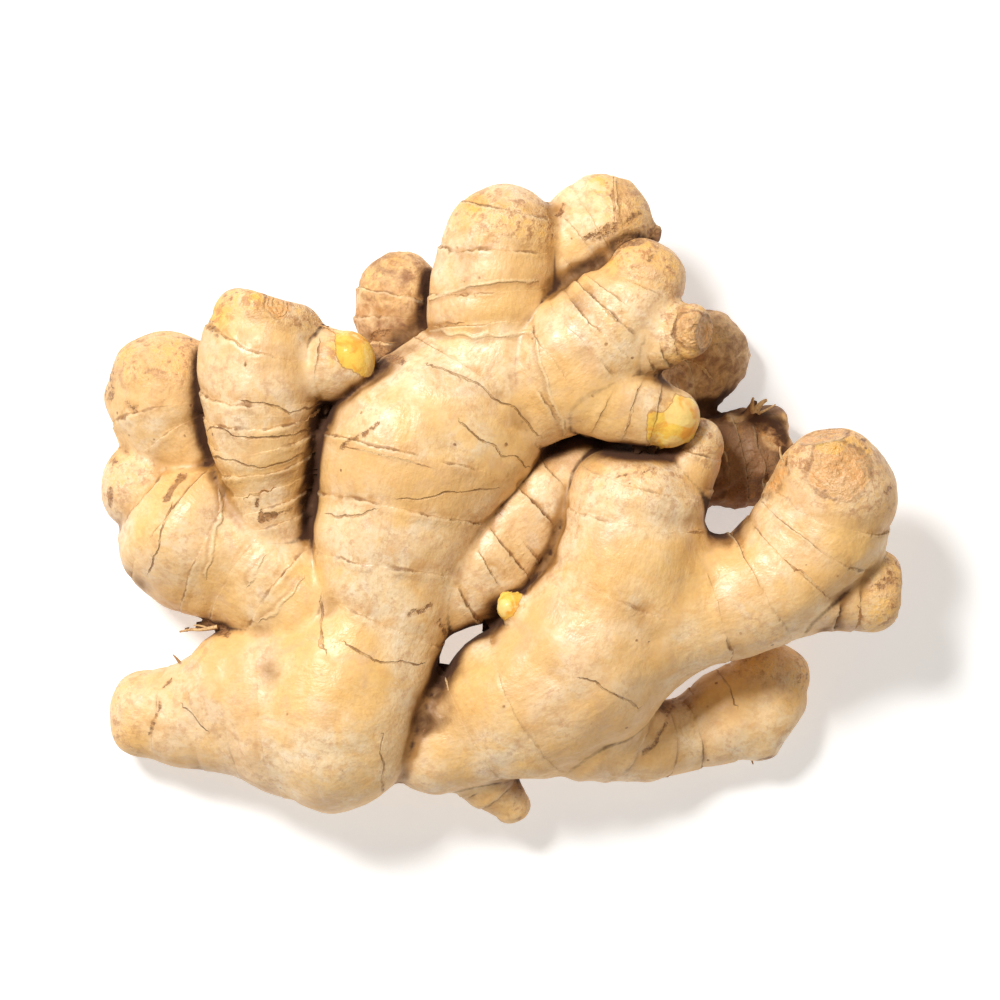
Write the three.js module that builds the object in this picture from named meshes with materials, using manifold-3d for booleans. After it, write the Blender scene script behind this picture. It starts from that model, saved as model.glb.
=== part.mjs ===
// A hand of fresh ginger, lying flat: one rhizome that grew as a single piece.
// Millimetres, +Z up. The origin is at the bottom centre of the hand, on the surface it lies on.
//
// Each finger of the root is a lathe turned from a stepped profile and bent along its own middle line.
// The steps are the leaf scars: every band flares towards the tip and ends in a crisp edge, like nested cups.
// All the fingers are then joined into one solid, and its underside is cut level where it touches down.

import * as THREE from 'three';
import { mergeVertices } from 'three/addons/utils/BufferGeometryUtils.js';
import Module from 'manifold-3d';

// Driving dimensions.
const SCAR_STEP = 0.55;        // how far a leaf scar's edge stands out of the next band
const BAND_SWELL = 0.3;        // how much a band bulges between two scars
const LONG_BAND = 7;           // a band longer than this has a row of points at its middle
const SCAR_EDGE = 0.35;        // length of the sharp drop behind an edge
const SCAR_SKEW = 0.7;         // how far a scar runs askew round the finger
const OUT_OF_ROUND = 0.035;    // share of the radius by which a section leaves the circle
const THICKNESS = 0.94;        // a finger's height, as a share of its width: the hand grew a little flat
const SQUARE_END = 2.8;        // how square a blunt end is: 2 would be a half ball
const SMALL_TIP = 3;           // a tip thinner than this has one row of points fewer
const FACET_WIDTH = 5.6;       // wanted width of a facet round the finger
const FEWEST_SIDES = 7;
const MOST_SIDES = 22;
const CAP_SHARE = 0.9;         // how far up its end cap a finger's last row of points is
const DISH_DEPTH = 0.9;        // sunken middle of the scar left by a stem
const DISH_SHARE = 0.78;       // the dish's radius, as a share of the last row's
const SEED = 7;
const GROUND = 400;            // width of the block that cuts the underside level

// Every finger: its middle line as [x, y, z, radius], root end first, where along it its leaf scars are,
// and how it ends. Both ends are half balls of the radius there, and the share blunt shortens the tip's.
//   round  a plain swollen end
//   scar   a blunt end with the dished scar of a stem
//   bud    a smooth pointed end
const FINGERS = {
  lower_left_finger: {
    path: [[-29.5, -36.9, 15.6, 16.9], [-35, -36.5, 14.3, 15.6], [-46, -36.9, 10.9, 12],
      [-53.5, -38, 9.1, 10], [-62.2, -37.9, 7.3, 7.3]],
    scars: [9, 17, 24, 31], end: 'round', blunt: 0.9,
  },
  left_shoulder: {
    path: [[-41.5, -31, 15.5, 9], [-47.2, -31.2, 15, 7]],
    scars: [], end: 'round', blunt: 1,
  },
  trunk: {
    path: [[-26.5, -33, 17, 14], [-20, -19, 19.5, 12.2], [-17.7, -5, 21.5, 14.3], [-14.8, 7, 22, 16.6]],
    scars: [6.7, 15, 24.5, 34, 44], end: 'round', blunt: 1,
  },
  trunk_shoulder: {
    path: [[-13, 8, 22, 14], [-5.5, 15.5, 22.5, 13.5], [0, 20, 23, 10]],
    scars: [8.8], end: 'round', blunt: 1,
  },
  upper_lobe: {
    path: [[-6.5, 17.5, 22, 14.5], [-2, 26, 23, 11.2], [-1, 35, 24, 11.3], [-0.2, 41, 25, 10.6],
      [0.6, 44.6, 25.3, 9.8]],
    scars: [3.5, 12.8, 20.3, 28.7], end: 'round', blunt: 0.98,
  },
  left_lobe: {
    path: [[-33, -17.5, 16.5, 11], [-44.5, -9.5, 14, 12.5], [-55.4, -3.7, 13, 14.5],
      [-61.6, 2, 12.5, 8.6]],
    scars: [5, 12.5, 19.8, 27.8, 34], end: 'round', blunt: 1,
  },
  left_finger: {
    path: [[-54, 8.5, 13.5, 8], [-57.3, 15, 14, 9.8], [-58.3, 18.8, 14.5, 10.4], [-57, 21.2, 15, 9.6]],
    scars: [4, 9.5, 14.5], end: 'scar', blunt: 0.85,
  },
  second_finger: {
    path: [[-38.5, -7, 18.5, 6.5], [-40, 3.5, 22, 8], [-41, 12, 24.5, 9.5], [-41.4, 21, 25.5, 10],
      [-41.2, 27, 26, 9.6], [-40.4, 30.2, 26, 8.7]],
    scars: [3.5, 7.2, 11, 15, 19.4, 23, 26.5, 34.5], end: 'scar', blunt: 0.65,
  },
  second_side_bud: {
    path: [[-35, 23.3, 26.5, 5.4], [-29, 23.6, 27.5, 6], [-26.2, 24.3, 28, 4.6]],
    scars: [4.5], end: 'bud', blunt: 1,
  },
  brown_finger: {
    path: [[-20.5, 9.5, 18, 12], [-18.3, 18, 17, 8.5], [-17.6, 26, 15.5, 6.1], [-17.8, 32, 14.5, 6.9],
      [-17.3, 37, 14.5, 6.7]],
    scars: [8, 12, 15.5, 18, 22.5, 27], end: 'round', blunt: 1,
  },
  top_finger: {
    path: [[7, 38, 22, 8], [13.4, 44.6, 23, 7.6], [18.8, 49.7, 23.5, 7.1], [21.6, 49.8, 24, 5.7]],
    scars: [5.8, 11, 14.5, 18], end: 'scar', blunt: 1,
  },
  high_finger: {
    path: [[5, 18.5, 24.5, 9], [12, 23.5, 27.5, 10.5], [18, 29, 30, 10], [22.8, 34.4, 31.5, 8.6],
      [25, 38.4, 32, 6.3]],
    scars: [4.5, 9.5, 15, 18.3, 24.5], end: 'round', blunt: 1,
  },
  high_side_knob: {
    path: [[24.5, 28, 32, 6.2], [29.5, 28.3, 34, 5.5], [32, 28.5, 35.5, 4.5]],
    scars: [2.5, 5.5, 8.5], end: 'scar', blunt: 1,
  },
  high_side_bud: {
    path: [[16.5, 20, 29, 8], [24.5, 16, 30, 6.5], [29, 14.5, 30, 5]],
    scars: [3.5, 7.5, 11.5], end: 'bud', blunt: 1,
  },
  low_back_finger: {
    path: [[17.5, 19, 20, 7.5], [26, 19, 12, 7], [33.4, 22, 6.6, 7], [36, 26, 6.2, 7.3]],
    scars: [8, 13, 17.5, 22], end: 'round', blunt: 1,
  },
  middle_finger: {
    path: [[-12, -15.5, 19, 9], [-5, -11.5, 18.5, 9], [2, -4, 17.5, 8.8], [8.5, 2.2, 17, 8.2],
      [13.5, 5.2, 17, 6.5]],
    scars: [5.5, 10.5, 14.5, 17.5, 23, 28], end: 'round', blunt: 1,
  },
  main_branch: {
    path: [[-12, -42.3, 15.5, 9], [-6, -40, 16.3, 10.3], [0.5, -37, 17.5, 12.3], [7, -34, 19, 13.6],
      [13.5, -30, 20, 14.2]],
    scars: [8, 19], end: 'round', blunt: 1,
  },
  branch_shoulder: {
    path: [[-0.6, -31.2, 20, 7], [4.5, -30.5, 21, 7.5]],
    scars: [], end: 'round', blunt: 1,
  },
  branch_lobe: {
    path: [[17, -24.5, 21, 15.2], [21, -15.5, 23, 13.6], [23.3, -8, 24, 12.8], [24, -3, 24.5, 12.2],
      [24.6, -0.3, 25, 11.3]],
    scars: [10, 22, 29.5], end: 'round', blunt: 0.8,
  },
  branch_knob: {
    path: [[30, 1.5, 24, 6.8], [32.8, 6, 24.5, 5.6], [33.8, 8.8, 24.5, 4.6]],
    scars: [3, 7.5], end: 'round', blunt: 1,
  },
  right_arm: {
    path: [[29, -21.2, 22, 11.3], [39, -17.9, 22.5, 10], [49, -12.9, 23, 10.9], [55.8, -5.5, 24, 10.9],
      [58.2, 0, 25.5, 10.1]],
    scars: [9, 17.5, 25, 31, 37], end: 'round', blunt: 1,
  },
  right_arm_end: {
    path: [[58.2, 1.8, 26, 8.2], [57.4, 5.6, 27.5, 6.3]],
    scars: [2.5, 6], end: 'scar', blunt: 1,
  },
  right_arm_knob: {
    path: [[55, -15.5, 22, 8.2], [62.7, -16, 21, 6.9]],
    scars: [3, 7], end: 'scar', blunt: 1,
  },
  lower_finger: {
    path: [[17, -38.5, 15.5, 10.5], [26, -42, 10.5, 7], [34, -41, 6.4, 6.7], [41, -37.3, 6.3, 7.3],
      [46.3, -33.8, 6.4, 7.4], [47.5, -31.2, 6.8, 6.5]],
    scars: [6, 13, 18.5, 24, 30], end: 'round', blunt: 1,
  },
  lower_finger_knob: {
    path: [[40.5, -38, 7.5, 6.3], [45.3, -39.6, 7, 5.2]],
    scars: [3], end: 'scar', blunt: 1,
  },
  foot: {
    path: [[-3.6, -45.5, 14, 7], [0.6, -50, 11.5, 5.4], [3.5, -54, 10, 3]],
    scars: [4, 8], end: 'bud', blunt: 1,
  },
  dark_back_finger: {
    path: [[24.5, 5, 18, 8], [33, 6.5, 12, 7.5], [41, 7.5, 9, 8.1], [46.2, 8.2, 8.5, 7.8]],
    scars: [6, 11, 15.5, 20, 24], end: 'scar', blunt: 0.8,
  },
  // On the underside, out of sight from above.
  under_trunk_knob: {
    path: [[-7, -3, 16, 9], [-3, 2, 10, 7.6], [1, 6, 8, 6.8]],
    scars: [4.5, 9, 13], end: 'round', blunt: 1,
  },
  under_branch_knob: {
    path: [[20, -12, 16, 9], [26, -8, 10.5, 7.5]],
    scars: [4, 8], end: 'scar', blunt: 1,
  },
  // Small things on the skin: fresh and brown eyes, a dried shoot and a root.
  yellow_eye: { path: [[4, -18.5, 24, 3.2], [1.5, -16, 26, 1.7]], scars: [], end: 'bud', blunt: 1 },
  brown_eye: { path: [[24, 46.5, 24, 2.6], [26.5, 46, 25, 1.7]], scars: [], end: 'bud', blunt: 1 },
  dried_shoot: { path: [[43.5, 12, 11, 2], [45.2, 17.3, 12.5, 1.3]], scars: [], end: 'bud', blunt: 1 },
  rootlet: { path: [[-47, -21, 14, 1.3], [-56, -23, 12, 0.5]], scars: [], end: 'bud', blunt: 1 },
};

// A small seeded generator, so that each finger comes out the same each time.
function seeded(seed) {
  let state = seed;
  return () => {
    state = (state * 1664525 + 1013904223) % 4294967296;
    return state / 4294967296;
  };
}

// The finger's middle line, its length, and its radius at any distance along it.
function middleLine(path) {
  const places = path.map(([x, y, z]) => new THREE.Vector3(x, y, z));
  const radii = path.map((point) => new THREE.Vector3(point[3], 0, 0));
  const curve = new THREE.CatmullRomCurve3(places, false, 'centripetal');
  const thickness = new THREE.CatmullRomCurve3(radii, false, 'catmullrom');
  const length = curve.getLength();
  const along = (s) => curve.getUtoTmapping(THREE.MathUtils.clamp(s / length, 0, 1));
  const radius = (s) => thickness.getPoint(along(s)).x;
  return { curve, length, along, radius };
}

// The lathe profile, from the root end's pole to the tip's, as points of radius and distance along the line.
function profile({ length, radius }, finger) {
  const rootRadius = radius(0);
  const tipRadius = radius(length);
  const tipLength = tipRadius * finger.blunt;
  const power = finger.end === 'scar' ? SQUARE_END : 2;
  const body = (s) => {
    if (s < 0) return rootRadius * Math.sqrt(1 - (s / rootRadius) ** 2);
    if (s > length) return tipRadius * (1 - ((s - length) / tipLength) ** power) ** (1 / power);
    return radius(s);
  };
  const points = [new THREE.Vector2(0, -rootRadius)];
  for (const share of [0.85, 0.45]) {
    const s = -share * rootRadius;
    points.push(new THREE.Vector2(body(s), s));
  }

  const step = Math.min(SCAR_STEP, 0.09 * tipRadius);
  const swell = Math.min(BAND_SWELL, 0.05 * tipRadius);
  let before = 0;
  for (const place of finger.scars) {
    if (place - before > LONG_BAND) {
      const middle = (before + place) / 2;
      points.push(new THREE.Vector2(body(middle) + swell, middle));
    }
    points.push(new THREE.Vector2(body(place) + step, place));
    points.push(new THREE.Vector2(body(place + SCAR_EDGE) - 0.15 * step, place + SCAR_EDGE));
    before = place + SCAR_EDGE;
  }
  const capStart = Math.max(before + 0.8, length + 0.35 * tipLength);
  const capEnd = length + CAP_SHARE * tipLength;
  for (const share of tipRadius > SMALL_TIP ? [0, 0.55, 1] : [0, 1]) {
    const s = THREE.MathUtils.lerp(capStart, capEnd, share);
    const narrowing = finger.end === 'bud' ? 1 - 0.15 * share : 1;
    points.push(new THREE.Vector2(body(s) * narrowing, s));
  }
  if (finger.end === 'scar') {
    const depth = Math.min(DISH_DEPTH, 0.14 * tipRadius);
    points.push(new THREE.Vector2(body(capEnd) * DISH_SHARE, capEnd - depth));
    points.push(new THREE.Vector2(0, capEnd - depth * 0.4));
  } else {
    points.push(new THREE.Vector2(0, length + tipLength));
  }
  return points;
}

// Turns the profile on a lathe and bends it along the middle line, out of round and with its scars askew.
function fingerGeometry(finger, draw) {
  const line = middleLine(finger.path);
  const widest = Math.max(...finger.path.map((point) => point[3]));
  const wanted = Math.round((2 * Math.PI * widest) / FACET_WIDTH);
  const sides = THREE.MathUtils.clamp(wanted, FEWEST_SIDES, MOST_SIDES);
  const sector = (2 * Math.PI) / sides;
  const fullness = Math.sqrt(sector / Math.sin(sector)); // gives the polygon the area of the round section
  const geometry = new THREE.LatheGeometry(profile(line, finger), sides);
  const [phaseTwo, phaseThree, phaseSkew] = [draw(), draw(), draw()].map((share) => share * 2 * Math.PI);
  const position = geometry.getAttribute('position');
  const up = new THREE.Vector3(0, 0, 1);
  for (let i = 0; i < position.count; i++) {
    const across = position.getX(i);
    const rise = position.getZ(i);
    const angle = Math.atan2(rise, across);
    const level = position.getY(i);
    const inside = THREE.MathUtils.smoothstep(level, 0, 3)
      * (1 - THREE.MathUtils.smoothstep(level, line.length - 2, line.length + 1));
    const s = level + inside * SCAR_SKEW * Math.sin(angle + phaseSkew + 0.12 * level);
    const waves = Math.sin(2 * angle + phaseTwo) + 0.6 * Math.sin(3 * angle + phaseThree);
    const round = fullness * (1 + OUT_OF_ROUND * waves);
    const t = line.along(s);
    const tangent = line.curve.getTangent(t);
    const side = new THREE.Vector3().crossVectors(tangent, up).normalize();
    const top = new THREE.Vector3().crossVectors(side, tangent);
    const beyond = s - THREE.MathUtils.clamp(s, 0, line.length);
    const place = line.curve.getPoint(t)
      .addScaledVector(tangent, beyond)
      .addScaledVector(side, across * round)
      .addScaledVector(top, rise * round * THICKNESS);
    position.setXYZ(i, place.x, place.y, place.z);
  }
  // The lathe's last column repeats its first, and all the points of a pole are one.
  const rows = position.count / (sides + 1);
  for (let i = 0; i < position.count; i++) {
    const row = i % rows;
    if (i >= rows * sides || row === 0 || row === rows - 1) {
      position.setXYZ(i, position.getX(row), position.getY(row), position.getZ(row));
    }
  }
  return geometry;
}

// Solids: three.js geometry in, three.js geometry out.
const wasm = await Module();
wasm.setup();

function solidOf(geometry) {
  geometry.deleteAttribute('normal');
  geometry.deleteAttribute('uv');
  const merged = mergeVertices(geometry, 1e-4);
  const index = merged.index.array;
  const triVerts = [];
  for (let i = 0; i < index.length; i += 3) {
    const [a, b, c] = [index[i], index[i + 1], index[i + 2]];
    if (a !== b && b !== c && c !== a) triVerts.push(a, b, c);
  }
  return new wasm.Manifold(new wasm.Mesh({
    numProp: 3,
    vertProperties: merged.getAttribute('position').array,
    triVerts: new Uint32Array(triVerts),
  }));
}

function geometryOf(solid) {
  const mesh = solid.getMesh();
  const geometry = new THREE.BufferGeometry();
  geometry.setAttribute('position', new THREE.BufferAttribute(mesh.vertProperties, 3));
  geometry.setIndex(new THREE.BufferAttribute(mesh.triVerts, 1));
  geometry.computeVertexNormals();
  return geometry;
}

// Joins all the fingers, and cuts the underside level with the surface that the hand lies on. Where two
// fingers only just touch, a sliver of space can be shut in between them, so the hand alone is kept.
function rhizome() {
  const solids = Object.values(FINGERS).map((finger, place) => (
    solidOf(fingerGeometry(finger, seeded(SEED + place)))
  ));
  const joined = solids.reduce((whole, finger) => whole.add(finger));
  const below = new THREE.BoxGeometry(GROUND, GROUND, GROUND).translate(0, 0, -GROUND / 2);
  const pieces = joined.subtract(solidOf(below)).decompose();
  return geometryOf(pieces.reduce((largest, piece) => (piece.volume() > largest.volume() ? piece : largest)));
}

const skin = new THREE.MeshStandardMaterial({ color: 0xdcb47e, roughness: 0.6, metalness: 0 });
const root = new THREE.Mesh(rhizome(), skin);
root.name = 'ginger_rhizome';

const ginger = new THREE.Group();
ginger.add(root);

export default ginger;
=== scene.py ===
# %% [markdown]
# # A hand of fresh ginger
# The ginger root is one grown piece: a thick mother root with fingers, knobs and buds on it.
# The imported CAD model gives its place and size. Here it gets the soft joins between its fingers,
# the torn leaf scars, the stem scars at the tips, and the thin, papery, fibrous skin.

# %% Load the frame
import math

import bpy
import numpy as np
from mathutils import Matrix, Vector
from mathutils.bvhtree import BVHTree


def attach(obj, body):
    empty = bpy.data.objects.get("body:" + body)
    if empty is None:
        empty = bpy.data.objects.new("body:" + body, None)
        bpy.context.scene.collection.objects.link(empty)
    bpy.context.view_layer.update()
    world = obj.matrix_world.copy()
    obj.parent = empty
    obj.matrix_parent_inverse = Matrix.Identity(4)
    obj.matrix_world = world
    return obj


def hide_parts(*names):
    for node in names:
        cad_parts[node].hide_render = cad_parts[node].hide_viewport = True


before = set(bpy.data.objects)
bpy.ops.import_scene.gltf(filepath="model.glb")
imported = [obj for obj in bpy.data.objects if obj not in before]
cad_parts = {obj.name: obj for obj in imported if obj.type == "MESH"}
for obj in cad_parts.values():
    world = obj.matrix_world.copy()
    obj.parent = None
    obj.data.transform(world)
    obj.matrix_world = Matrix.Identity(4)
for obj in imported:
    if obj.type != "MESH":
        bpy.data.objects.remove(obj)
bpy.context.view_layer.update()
ROOT_NODE = "ginger_rhizome"
MM = 0.001


# %% [markdown]
# The photograph looks straight down on the hand, from far enough away that its near side looks no
# larger than its far side. A long lens from a metre up does the same. One pixel is 0.175 mm at the
# height where the hand is widest.

# %% Camera
CAMERA_HEIGHT = 1.0
FOCUS_HEIGHT = 0.020
PHOTO_WIDTH = 0.175
SENSOR_WIDTH = 36.0

bpy.ops.object.select_all(action="DESELECT")
bpy.ops.object.camera_add(location=(0, 0, CAMERA_HEIGHT + FOCUS_HEIGHT), rotation=(0, 0, 0))
camera = bpy.context.object
camera.data.sensor_width = SENSOR_WIDTH
camera.data.lens = SENSOR_WIDTH * CAMERA_HEIGHT / PHOTO_WIDTH
camera.data.clip_end = 10
bpy.context.scene.camera = camera
print("camera lens in millimetres:", round(camera.data.lens, 1))


# %% [markdown]
# The light in the photograph is bright and clean: one soft lamp from the upper left, and warm white
# all round that lifts the shadows. The floor is white and glows a little, as a light table does, so
# that it almost vanishes and the gaps between the fingers stay bright.

# %% Lights and floor
KEY_PLACE = (-0.45, 0.5, 0.95)
KEY_SIZE = 0.26
KEY_POWER = 14.9
FILL_PLACE = (0.75, -0.5, 0.9)
FILL_SIZE = 0.8
FILL_POWER = 0.9
WORLD_STRENGTH = 0.30
WORLD_COLOUR = (1.0, 0.85, 0.64, 1)
FLOOR_SIZE = 6.0
FLOOR_DROP = 0.0002
FLOOR_WHITE = (0.72, 0.72, 0.72, 1)
GLOW_COLOUR = (0.95, 0.97, 1, 1)
FLOOR_GLOW = 0.46


def add_lamp(name, place, size, power, colour):
    """A square soft lamp that points at the middle of the floor."""
    bpy.ops.object.light_add(type="AREA", location=place)
    lamp = bpy.context.object
    lamp.name = name
    lamp.data.size = size
    lamp.data.energy = power
    lamp.data.color = colour
    tilt = math.atan2(math.hypot(place[0], place[1]), place[2])
    lamp.rotation_euler = (tilt, 0, math.atan2(-place[1], -place[0]) - math.pi / 2)


add_lamp("key_lamp", KEY_PLACE, KEY_SIZE, KEY_POWER, (1.0, 0.995, 0.985))
add_lamp("fill_lamp", FILL_PLACE, FILL_SIZE, FILL_POWER, (1.0, 0.99, 0.98))

world = bpy.data.worlds.new("white_room")
bpy.context.scene.world = world
world.use_nodes = True
world.node_tree.nodes["Background"].inputs["Color"].default_value = WORLD_COLOUR
world.node_tree.nodes["Background"].inputs["Strength"].default_value = WORLD_STRENGTH
bpy.context.scene.view_settings.view_transform = "Standard"

bpy.ops.object.select_all(action="DESELECT")
bpy.ops.mesh.primitive_plane_add(size=FLOOR_SIZE, location=(0, 0, -FLOOR_DROP))
floor = bpy.context.object
floor.name = "floor"
floor_paint = bpy.data.materials.new("white_floor")
floor_paint.use_nodes = True
for socket, value in {"Base Color": FLOOR_WHITE, "Roughness": 0.9, "Emission Color": GLOW_COLOUR,
                      "Emission Strength": FLOOR_GLOW}.items():
    floor_paint.node_tree.nodes["Principled BSDF"].inputs[socket].default_value = value
floor.data.materials.append(floor_paint)
print("floor and lamps made")


# %% [markdown]
# Every finger is a list of places along its middle line, in millimetres: x, y, height and
# radius, root end first. The numbers before them are the distances along that line at which old
# leaves were attached. Fingers of one family run into each other. Nearly the same places shape the CAD
# model, so the fine skin lies close to it everywhere.

# %% The fingers
def grown_finger(family, scars, path, end="round", blunt=1):
    return dict(path=path, scars=scars, end=end, blunt=blunt, family=family)


FINGERS = {
    "lower_left_finger": grown_finger("mother", [9, 17, 24, 31], [
        (-29.5, -36.9, 15.6, 16.9), (-35, -36.5, 14.3, 15.6), (-46, -36.9, 10.9, 12),
        (-53.5, -38, 9.1, 10), (-62.2, -37.9, 7.3, 7.3)], blunt=0.9),
    "left_shoulder": grown_finger("mother", [], [
        (-41.5, -31, 15.5, 9), (-47.2, -31.2, 15, 7)]),
    "trunk": grown_finger("mother", [6.7, 15, 24.5, 34, 44], [
        (-28, -33, 17, 13.6), (-20.8, -19, 19.5, 12), (-18.2, -5, 21.5, 13.7), (-15.4, 7, 22, 16.2)]),
    "trunk_shoulder": grown_finger("mother", [8.8], [
        (-14, 8.5, 22, 13.5), (-6, 15.5, 22.5, 13.3), (0, 20, 23, 10)]),
    "upper_lobe": grown_finger("mother", [3.5, 12.8, 20.3, 28.7, 34.6], [
        (-6.5, 17.5, 22, 14.5), (-2, 26, 23, 11.2), (-1, 35, 24, 11.3), (-0.2, 41, 25, 10.6),
        (0.6, 44.6, 25.3, 9.8)], blunt=0.98),
    "left_lobe": grown_finger("left", [5, 12.5, 19.8, 27.8, 34], [
        (-33, -17.5, 16.5, 11), (-44.5, -9.5, 14, 12.5), (-55.4, -3.7, 13, 14.5), (-61.6, 2, 12.5, 8.6)]),
    "left_finger": grown_finger("left_finger", [4, 9.8], [
        (-54, 8.5, 13.5, 8), (-57.4, 14.6, 14, 10.2), (-58.4, 18.2, 14.5, 10.7), (-58.4, 20.6, 15, 10.3)],
        blunt=0.86),
    "second_finger": grown_finger("second", [3.5, 7.2, 11, 15, 19.4, 23, 26.5, 34.5], [
        (-39.3, -7, 18.5, 6.3), (-40.8, 3.5, 22, 7.6), (-41.3, 12, 24.5, 9.3), (-41.4, 21, 25.5, 10),
        (-41.2, 27, 26, 9.6), (-40.4, 30.2, 26, 8.7)], end="scar", blunt=0.65),
    "second_side_bud": grown_finger("second_bud", [4.5], [
        (-35, 23.3, 26.5, 5.4), (-29, 23.6, 27.5, 6), (-26.2, 24.3, 28, 4.6)], end="bud"),
    "brown_finger": grown_finger("brown", [8, 12, 15.5, 18, 22.5, 27], [
        (-20.5, 9.5, 18, 12), (-18.3, 18, 17, 8.5), (-17.6, 26, 15.5, 6.1), (-17.8, 32, 14.5, 6.9),
        (-17.3, 37, 14.5, 6.7)]),
    "top_finger": grown_finger("top", [5.8, 11, 14.5, 18.5], [
        (7, 38, 22, 8), (13, 44.2, 23, 7.9), (18.2, 48, 23.8, 8.1), (20.4, 48.4, 24, 7.6)], blunt=0.8),
    "high_finger": grown_finger("high", [4.5, 9.5, 15, 18.3, 21.5, 24.5, 28], [
        (5, 18.5, 24.5, 9), (12, 23.5, 27.5, 10.5), (18, 29, 30, 10), (22.8, 34.4, 31.5, 8.6),
        (25, 38.4, 32, 6.3)]),
    "high_side_knob": grown_finger("high_knob", [2.5, 5.5, 8.5], [
        (24.5, 28, 32, 6.2), (29.5, 28.3, 34, 5.5), (32, 28.5, 35.5, 4.5)], end="scar"),
    "high_side_bud": grown_finger("high_bud", [3.5, 7.5, 11.5], [
        (16.5, 20, 29, 8), (24.5, 16, 30, 6.5), (29, 14.5, 30, 5)], end="bud"),
    "low_back_finger": grown_finger("low_back", [8, 13, 17.5, 22], [
        (17.5, 19, 20, 7.5), (26, 19, 12, 7), (33.4, 22, 6.6, 7), (36, 26, 6.2, 7.3)]),
    "middle_finger": grown_finger("middle", [5.5, 10.5, 14.5, 17.5, 23, 28], [
        (-12, -15.2, 19, 8.7), (-4.5, -11.8, 19.5, 8.5), (3, -5.5, 19, 8.7), (9, 1, 18.5, 8.2),
        (13.8, 4.6, 18, 6.5)]),
    "main_branch": grown_finger("branch", [8, 19], [
        (-12, -42.3, 15.5, 9), (-6, -40, 16.3, 10.3), (0.5, -37, 17.5, 12.3), (7, -34, 19, 13.6),
        (13.5, -30, 20, 14.2)]),
    "branch_shoulder": grown_finger("branch", [], [
        (-0.6, -31.9, 20, 6.8), (4.8, -30.8, 21, 7.2)]),
    "branch_lobe": grown_finger("branch", [10, 22, 29.5], [
        (17.2, -24.2, 21, 13.9), (21.5, -15.5, 23, 13.3), (23.5, -8, 24, 12.6), (24, -3, 24.5, 12.1),
        (24.6, -0.3, 25, 11.2)], blunt=0.8),
    "branch_knob": grown_finger("branch_knob", [3, 7.5], [
        (30, 1.5, 24, 6.8), (32.8, 6, 24.5, 5.6), (33.8, 8.8, 24.5, 4.6)]),
    "right_arm": grown_finger("branch", [9, 17.5, 25, 31, 37], [
        (28.6, -20.4, 22, 10.6), (39, -17.7, 22.5, 9.9), (49, -12.9, 23, 10.9), (55.8, -5.5, 24, 10.9),
        (58.2, 0, 25.5, 10.1)]),
    "right_arm_end": grown_finger("branch", [2.5, 6], [
        (58.2, 1.8, 26, 8.2), (57.4, 5.6, 27.5, 6.3)], end="scar"),
    "right_arm_knob": grown_finger("arm_knob", [3, 7], [
        (55, -15.5, 22, 8.2), (62.7, -16, 21, 6.9)], end="scar"),
    "lower_finger": grown_finger("lower", [6, 13, 18.5, 24, 30], [
        (17, -38.5, 15.5, 10.5), (26, -42, 10.5, 7), (34, -41, 6.4, 6.7), (41, -37.3, 6.3, 7.3),
        (46.3, -33.8, 6.4, 7.4), (47.5, -31.2, 6.8, 6.5)]),
    "lower_finger_knob": grown_finger("lower", [3], [
        (40.5, -38, 7.5, 6.3), (45.3, -39.6, 7, 5.2)], end="scar"),
    "foot": grown_finger("foot", [4, 8], [
        (-4.6, -45, 14, 7), (-0.5, -50.6, 11.5, 5.1), (2, -53.9, 10, 3.2)], end="bud"),
    "dark_back_finger": grown_finger("dark", [6, 11, 15.5, 20, 24], [
        (24.5, 5, 18, 8), (33, 6.5, 12, 7.5), (41, 7.5, 9, 8.1), (46.2, 8.2, 8.5, 7.8)],
        end="scar", blunt=0.8),
    "under_trunk_knob": grown_finger("under_trunk", [4.5, 9, 13], [
        (-7, -3, 16, 9), (-3, 2, 10, 7.6), (1, 6, 8, 6.8)]),
    "under_branch_knob": grown_finger("under_branch", [4, 8], [
        (20, -12, 16, 9), (26, -8, 10.5, 7.5)], end="scar"),
    "yellow_eye": grown_finger("yellow_eye", [], [
        (4, -20, 24, 3), (1.6, -18.8, 25.5, 2)], end="bud"),
    "brown_eye": grown_finger("brown_eye", [], [
        (24, 46.5, 24, 2.6), (26.5, 46, 25, 1.7)], end="bud"),
    "dried_shoot": grown_finger("dried_shoot", [], [
        (43.5, 12, 11, 2), (45.2, 17.3, 12.5, 1.3)], end="bud"),
    "rootlet": grown_finger("rootlet", [], [
        (-47, -21, 14, 1.3), (-56, -23, 12, 0.5)], end="bud"),
}
print("fingers:", len(FINGERS))


# %% [markdown]
# A finger's middle line is a smooth curve through its places. It is cut into short steps, and each
# step keeps its own two directions across the finger, so that any point near it can be told how far
# along and how far out it lies.

# %% Middle lines
OUT_OF_ROUND = 0.035
THICKNESS = 0.94
SQUARE_END = 2.8
CAP_SHARE = 0.9
SEED = 7
STEP = 0.5
SCAR_SLANT = 0.7
SCAR_TWIST = 0.12
SLANTED_SCARS = {"upper_lobe": (1.83, 3.0), "second_finger": (3.32, 1.6), "left_finger": (2.9, 1.5)}


def seeded(seed):
    state = seed
    while True:
        state = (state * 1664525 + 1013904223) % 4294967296
        yield state / 4294967296


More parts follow.
